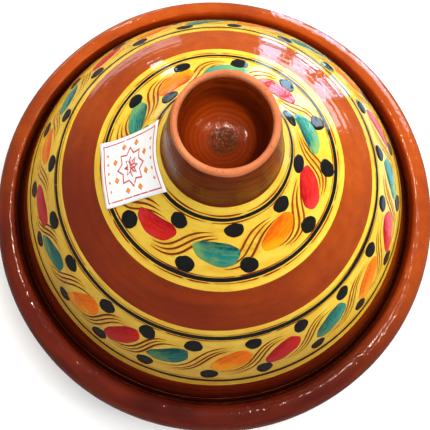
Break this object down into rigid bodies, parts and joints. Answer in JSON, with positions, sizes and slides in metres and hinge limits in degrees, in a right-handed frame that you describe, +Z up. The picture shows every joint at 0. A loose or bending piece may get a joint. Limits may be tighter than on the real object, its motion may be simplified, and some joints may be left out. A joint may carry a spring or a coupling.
{
  "type": "tagine pot",
  "caption": "Round earthenware cooking pot: a shallow flared dish with a rolled rim under a tall domed lid that lifts off, with painted slip bands and a hollow cup-shaped knob.",
  "frame": {"origin": "centre of the dish's foot, on the surface it stands on", "axes": "+Z up along the pot's own axis; -Y towards the viewer of the reference view; the paper label lies on the -X side of the lid"},
  "size_m": [0.302, 0.302, 0.226],
  "materials": {
    "brown_glaze": "clear gloss glaze over red-brown earthenware",
    "bare_clay": "unglazed terracotta, matt and slightly gritty",
    "yellow_slip": "yellow slip under gloss glaze",
    "black_paint": "black underglaze, gloss",
    "teal_paint": "teal underglaze, gloss",
    "red_paint": "red underglaze, gloss",
    "orange_paint": "orange underglaze, gloss",
    "paper": "coated white sticker paper"
  },
  "bodies": {
    "base": {"base_dish": "brown_glaze"},
    "lid": {"lid_shell": "brown_glaze", "lid_knob": "brown_glaze", "upper_slip_band": "yellow_slip", "lower_slip_band": "yellow_slip", "paper_label": "paper"}
  },
  "joints": [
    {"name": "lid_lift", "type": "slide", "parent": "base", "child": "lid", "axis": [0, 0, 1], "range_m": [0, 0.25]}
  ]
}
